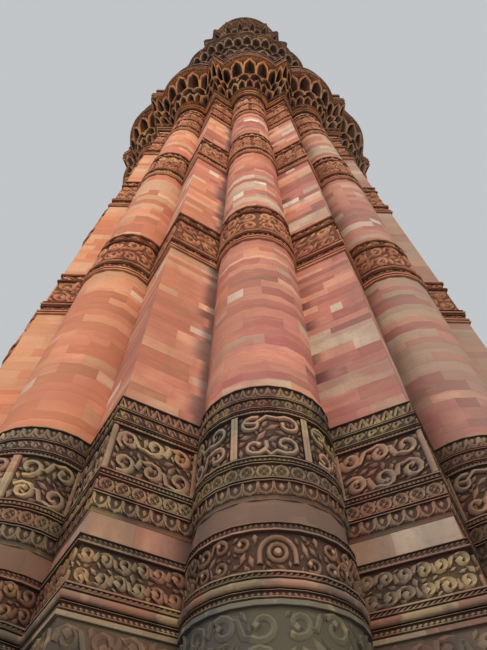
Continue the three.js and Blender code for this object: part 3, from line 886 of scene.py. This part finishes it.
# The colour of a stone runs on from the one beside it for a while: rose to salmon, beige, few white or dark.
def pickTone(chance, last, beigeShare):
    if chance.random() < 0.4 and not 0.93 < last < 0.97:
        return last
    draw = chance.random()
    if draw < beigeShare:
        return 0.77 + 0.14 * chance.random()
    if draw < beigeShare + 0.022:
        return whiteTone
    if draw < beigeShare + 0.09:
        return 0.03 + 0.05 * chance.random()
    return 0.1 + 0.62 * chance.random()


# Low down, the rounds have a dark crust and the arrises are cream and pink.
def calmTone(chance, kind):
    if kind == "a":
        return chance.choice([0.2, 0.45, 0.82, 0.9])
    return chance.choice([0.98, 0.99, 1.0, 0.06])


# Where a course of a flute is cut into stones. On a round, the joints are at fixed stations, so that all
# courses share one outline.
def cutCourse(chance, kind, start, end, count, sides):
    if kind == "a":
        parts = chance.uniform(0.5, 1.5, count)
        return start + (end - start) * np.concatenate([[0], np.cumsum(parts) / parts.sum()])
    inner = chance.choice(np.arange(1, sides), min(count, sides) - 1, replace=False)
    return np.concatenate([[0], np.sort(inner), [sides]]) / sides


def layCourses(storeyName, zones):
    look = ashlarLooks[storeyName]
    chance = np.random.default_rng(look["seed"])
    places = {}
    for foot, head in zones:
        tallness = look["courseHeight"] * (1 + look["growth"] * max(0, foot - growthFoot))
        courses = max(1, round((head - foot) / tallness))
        shares = chance.uniform(1 - look["unevenCourses"], 1 + look["unevenCourses"], courses)
        edges = foot + (head - foot) * np.concatenate([[0], np.cumsum(shares) / shares.sum()])
        # beds of beige and of deep rose run through a few courses of a flute
        drift = chance.normal(0, 0.5, fluteCount)
        for low, high in zip(edges[:-1], edges[1:]):
            drift = 0.8 * drift + chance.normal(0, 0.3, fluteCount)
            level = (low + high) / 2
            lengths = [fluteLength(storeyName, flute, level) for flute in (0, 1)]
            atDoor = low < doorHeads[storeyName]
            left, right = doorSpan(storeyName, look["doorHalf"], level) if atDoor else (0, 0)
            tone = 0.5
            isCalm = level < calmHead
            courseTone = chance.uniform(-0.2, 0.2)
            for flute in range(fluteCount):
                kind = fluteKind(storeyName, flute)
                length = lengths[flute % 2]
                beige = beigeShares.get(flute, 0.3) * (1 + min(max(drift[flute], -1), 1.2))
                for start, end in ((0, 0.5), (0.5, 1)) if kind == "a" else ((0, 1),):
                    blocks = length * (end - start) / look["blockLength"] + chance.uniform(-0.5, 0.5)
                    cuts = cutCourse(chance, kind, start, end, max(1, round(blocks)), look["sides"])
                    gap = look["joint"] / 2 / length if kind == "a" else 0
                    for i in range(len(cuts) - 1):
                        a = flute + cuts[i] + (gap if i else 0)
                        b = flute + cuts[i + 1] - (gap if i < len(cuts) - 2 else 0)
                        tone = calmTone(chance, kind) if isCalm else pickTone(chance, tone, beige)
                        if tone == whiteTone and b - a > 0.35:
                            tone = 0.85  # the white stones are short
                        shade = tone
                        if 0.1 <= tone < 0.75 and not isCalm:
                            shade = min(max(tone + courseTone - 0.3 * abs(drift[flute]), 0.1), 0.73)
                        proud = look["proud"] + chance.uniform(-1, 1) * look["uneven"]
                        sides = 1 if kind == "a" else max(1, round((b - a) * look["sides"]))
                        size = (high - low - look["joint"], look["thickness"])
                        for x, y in ((a, min(b, left)), (max(a, right), b)) if right else ((a, b),):
                            if y - x > 0.02:
                                spot = ((x + y) / 2, level, proud, y - x, *size, shade)
                                places.setdefault((kind, sides), []).append(spot)
    return places


# The face of each stone on a round is shaded as round, whatever its few sides
def shadeRound(mesh, storeyName):
    columns = {}
    for name in ("along", "level", "relief"):
        columns[name] = np.empty(len(mesh.vertices), np.float32)
        mesh.attributes[name].data.foreach_get("value", columns[name])
    along = columns["along"].astype(float)
    flute = np.floor(along)
    small = 0.004
    middle = np.clip(along, flute + small, flute + 1 - small)
    before, after = (onFlutes(storeyName, middle + step, columns["level"], 0.0) for step in (-small, small))
    run = after - before
    outward = np.stack([run[:, 1], -run[:, 0], 0 * run[:, 0]], -1)
    outward /= np.linalg.norm(outward, axis=1)[:, None]
    kinds = np.array([fluteKind(storeyName, int(f)) for f in flute % fluteCount])
    corners = np.empty(len(mesh.loops), np.int32)
    mesh.loops.foreach_get("vertex_index", corners)
    sizes = np.array([p.loop_total for p in mesh.polygons])
    plain = np.repeat(np.array([p.normal for p in mesh.polygons]), sizes, axis=0)
    isFace = np.minimum.reduceat(columns["relief"][corners], np.concatenate([[0], np.cumsum(sizes)[:-1]])) > 0
    isRound = np.repeat(isFace, sizes) & (kinds[corners] != "a")
    normals = np.where(isRound[:, None], outward[corners], plain)
    mesh.shade_smooth()
    mesh.normals_split_custom_set(normals.tolist())


def makeAshlar(storeyName):
    number = storeyNumber[storeyName]
    name = f"storey_{number}_ashlar"
    zones = plainZones(storeyName)
    line = makeWallLine(name + " line", storeyName, zones[0][0], zones[-1][1], lambda at: (0 * at, 0 * at))
    places = layCourses(storeyName, zones)
    finish = finishes["marble" if number > 3 else "dressed"]
    meshes = [setStones(f"{name} {kind}{sides}", ashlarBlock(sides), spots, line, finish)
              for (kind, sides), spots in places.items()]
    bpy.data.objects.remove(line)
    piece = joinMeshes(name, meshes)
    shadeRound(piece.data, storeyName)
    print(name, sum(len(spots) for spots in places.values()), "blocks")


for storeyName in storeys:
    makeAshlar(storeyName)


# Carved work is written from its foot up: what each row shows, its height in metres and, where it is carved
# deeper or less deep than the rest, its depth.
def readRows(text):
    rows = [row.split() for row in text.split(",")]
    return [(kind, *(float(number) for number in numbers)) for kind, *numbers in rows]


bandRows = {
    "storey_1_band_1": "vines 0.84 0.036, fillet 0.03",
    "storey_1_band_2": "beads 0.06 0.03, groove 0.012, torus 0.1, cable 0.045 0.03, vines 0.41 0.05, "
                       "studs 0.075 0.03",
    "storey_1_band_3": "plain 0.055, petals 0.15 0.03, groove 0.02, rosettes 0.19 0.03, groove 0.022, "
                       "beads 0.05 0.02, vines 0.64 0.05, beads 0.045 0.02, groove 0.02, scrolls 0.17 0.03, "
                       "groove 0.014, scales 0.19 0.035",
    "storey_1_band_4": "fillet 0.04, groove 0.035, fillet 0.04, florets 0.17, groove 0.03, torus 0.1, "
                       "groove 0.03, vines 0.9, groove 0.03, scrolls 0.22, groove 0.035, fillet 0.05",
    "storey_1_band_5": "torus 0.1, groove 0.04, fillet 0.06, florets 0.22, groove 0.04, torus 0.1, "
                       "groove 0.03, vines 1.15, groove 0.04, scales 0.3, groove 0.04, fillet 0.05",
    "storey_1_band_6": "torus 0.12, groove 0.05, fillet 0.06, florets 0.3, groove 0.05, vines 1.05, "
                       "groove 0.05, torus 0.12, groove 0.05, vines 0.85, groove 0.04, scales 0.4, "
                       "fillet 0.05",
}
plainBandRows = "fillet 0.1, florets 0.22, groove 0.03, vines 0.65, groove 0.03, scales 0.24"
bandLooks = {
    "low": {"recess": 0.045, "rise": 0.018, "deepest": 0.05, "wear": 0.35, "bar": 0.08, "panels": 3,
            "variants": 4, "stroke": 0.064, "roundSides": 12, "flat": 0.42},
    "high": {"recess": 0.05, "rise": 0.018, "deepest": 0.054, "wear": 0.35, "bar": 0.0, "panels": 2,
             "variants": 3, "stroke": 0.16, "roundSides": 10,
             "widths": {"florets": 0.4, "scrolls": 0.34, "scales": 0.34, "chevrons": 0.34}},
}
bandLooks["storey_1_band_1"] = dict(bandLooks["low"], recess=0.04, wear=0.3, bar=0.0, panels=2, stroke=0.072,
                                    flat=0.0)
bandLooks["storey_1_band_2"] = dict(bandLooks["low"], bar=0.0, stroke=0.053, arches=True, flat=0.0)
for band in ("storey_1_band_4", "storey_1_band_5", "storey_1_band_6"):
    bandLooks[band] = dict(bandLooks["high"], stroke=0.096)
bandProud = 0.06


def makeBand(number, storeyName, i):
    name = f"storey_{number}_band_{i}"
    isLow = number == 1 and i <= 3
    look = dict(bandLooks.get(name, bandLooks["low" if isLow else "high"]), seed=100 * number + 10 * i)
    if number > 1:
        look["roundSides"] = 6
    finish = finishes[("carvedFoot" if i == 1 else "carvedLow") if isLow else "carvedHigh"]
    rows = readRows(bandRows.get(name, plainBandRows))
    meshes = makeCarvedCourse(name, storeyName, rows, lambda at: [bandProud + 0 * at] * 2, look, finish)
    finishCarving(name, meshes)


for storeyName, number in storeyNumber.items():
    for i in range(bandCounts[storeyName]):
        makeBand(number, storeyName, i + 1)

# Balconies. A tier's shape is [(share of its height, how proud it is)], and where the arrises are less proud
# than the rounds, theirs comes after it.
balconyRows = {
    "corbels_lower": "torus 0.1, groove 0.05, torus 0.12, groove 0.05, cusps 0.26 0.1, niches 0.6 0.2",
    "corbels_upper": "niches 0.5 0.26, niches 1.1 0.42, cusps 0.34 0.14, groove 0.04, fillet 0.07",
    "floor": "cusps 0.26 0.09, groove 0.05, fillet 0.09",
    "parapet": "fillet 0.12, groove 0.03, florets 0.6, groove 0.03, fillet 0.27",
}
balconyTiers = {
    "first": {
        "corbels_lower": [(0, 0.14, 0.12), (0.42, 0.28, 0.24), (0.5, 0.3, 0.26), (1, 0.56, 0.46)],
        "corbels_upper": [(0, 0.58, 0.48), (0.3, 0.74, 0.6), (0.8, 1.2, 0.9), (1, 1.26, 0.93)],
        "floor": [(0, 1.3, 0.95)], "parapet": [(0, 1.27, 0.92)]},
    "second": {
        "corbels_lower": [(0, 0.14), (0.5, 0.26), (1, 0.46)],
        "corbels_upper": [(0, 0.5), (0.3, 0.66), (0.8, 1.1), (1, 1.16)],
        "floor": [(0, 1.2)], "parapet": [(0, 1.17)]},
    "third": {
        "corbels_lower": [(0, 0.12), (0.5, 0.22), (1, 0.4)],
        "corbels_upper": [(0, 0.44), (0.3, 0.58), (0.8, 0.96), (1, 1.02)],
        "floor": [(0, 1.06)], "parapet": [(0, 1.03)]},
    "fourth": {
        "corbels_upper": [(0, 0.2), (0.3, 0.5), (0.8, 1.36), (1, 1.44)],
        "floor": [(0, 1.5)], "parapet": [(0, 1.47)]},
    "fifth": {
        "corbels_upper": [(0, 0.12), (0.3, 0.2), (0.8, 0.42), (1, 0.46)],
        "floor": [(0, 0.5)], "parapet": [(0, 0.47)]},
}
parapetThickness = {"first": 0.24, "second": 0.2, "third": 0.18, "fourth": 0.16, "fifth": 0.14}


def makeBalconyTier(storeyName, tier, shape):
    number = storeyNumber[storeyName]
    name = f"balcony_{number}_{tier}"
    foot, head = heights(name)
    shares, *prouds = zip(*shape)
    prouds = [prouds[0], prouds[-1]]
    isParapet = tier == "parapet"
    coarse = 1 if number == 1 else 1.8  # the honeycomb of the upper balconies is larger
    niche = (0.38 if tier == "corbels_lower" else 0.57) * coarse
    look = {"recess": 0.07, "rise": 0.03 if isParapet else 0.08, "deepest": 0.2, "wear": 0.2,
            "seed": 899 + number, "roundSides": round(12 / coarse),
            "widths": {"niches": niche, "cusps": 0.32 * coarse, "florets": 0.6}}
    finish = "corniceHigh" if number > 1 else "edge" if tier == "floor" else "cornice"
    finish = finishes["parapet" if isParapet else finish]
    bore = None if isParapet else storeys[storeyName]["bore"]
    backs = [proud[0] - parapetThickness[storeyName] for proud in prouds]
    proudAt = lambda at: [np.interp((at - foot) / (head - foot), shares, proud) for proud in prouds]
    rows = readRows(balconyRows[tier])
    meshes = makeCarvedCourse(name, storeyName, rows, proudAt, look, finish, bore, backs)
    finishCarving(name, meshes)


for storeyName, tiers in balconyTiers.items():
    for tier, shape in tiers.items():
        makeBalconyTier(storeyName, tier, shape)

# The frame's own stone: walls behind the ashlar, plinth, roof
slotFinishes = {"dressed_sandstone": "dressed", "carved_sandstone": "carvedHigh",
                "cornice_sandstone": "cornice", "white_marble": "marble", "plinth_stone": "quartzite"}
slots = {part["node"]: part["material_slot"] for part in frame["record"]["subparts"]}
for nodeName, node in frame["nodes"].items():
    node.data.materials.clear()
    node.data.materials.append(finishes[slotFinishes[slots[nodeName]]])

# Floor, light and camera
floorReach = 40
floorLevel = -0.002
floorCorners = [(x * floorReach, y * floorReach, floorLevel) for x, y in ((-1, -1), (1, -1), (1, 1), (-1, 1))]
floor = showMesh("floor", makeMesh("floor", floorCorners, [(0, 1, 2, 3)]))
# plain matt floor paint, a little off white
floorPaint = bpy.data.materials.new("pale floor")
floorPaint.use_nodes = True
floorPaint.node_tree.nodes.clear()
paint = addNode(floorPaint.node_tree, "ShaderNodeBsdfPrincipled", {
    "Base Color": hexToLinear("#D8D6D2"), "Roughness": 0.8})
addNode(floorPaint.node_tree, "ShaderNodeOutputMaterial", {"Surface": paint})
floor.data.materials.append(floorPaint)

lights = {
    "key": {"at": (2.2, -10.0, 4.5), "aim": (0, 0, 3.0), "size": 11.0, "watts": 1020, "colour": "#FFE8D0"},
    "fill": {"at": (-8.0, -7.0, 7.0), "aim": (0, 0, 3.0), "size": 6.0, "watts": 420, "colour": "#E4ECFF"},
}


def aimAt(thing, target):
    run = [t - p for t, p in zip(target, thing.location)]
    flat = math.hypot(run[0], run[1])
    thing.rotation_euler = (math.pi / 2 + math.atan2(run[2], flat), 0, math.atan2(-run[0], run[1]))


for name, look in lights.items():
    data = bpy.data.lights.new(name + " softbox", "AREA")
    data.shape = "DISK"
    data.size = look["size"]
    data.energy = look["watts"]
    data.color = hexToLinear(look["colour"])[:3]
    lamp = bpy.data.objects.new(name + " softbox", data)
    lamp.location = look["at"]
    bpy.context.scene.collection.objects.link(lamp)
    aimAt(lamp, look["aim"])

world = bpy.data.worlds.new("studio")
world.use_nodes = True
backdrop = world.node_tree.nodes["Background"]
backdrop.inputs["Color"].default_value = hexToLinear("#E4E7EA")
backdrop.inputs["Strength"].default_value = 0.7
bpy.context.scene.world = world
bpy.context.scene.view_settings.view_transform = "Standard"

# The eye stands close to the tower, a little to the left of its middle, and looks steeply up
view = {"at": (-0.04084, -1.12211, 0.16), "tilt": 53.0853, "turn": -1.48, "focalPixels": 522.98, "tall": 650}
cameraData = bpy.data.cameras.new("camera")
cameraData.sensor_width = 36
cameraData.lens = view["focalPixels"] / view["tall"] * cameraData.sensor_width
cameraData.clip_start = 0.01
camera = bpy.data.objects.new("camera", cameraData)
camera.location = view["at"]
camera.rotation_euler = (math.radians(90 + view["tilt"]), 0, math.radians(view["turn"]))
bpy.context.scene.collection.objects.link(camera)
bpy.context.scene.camera = camera
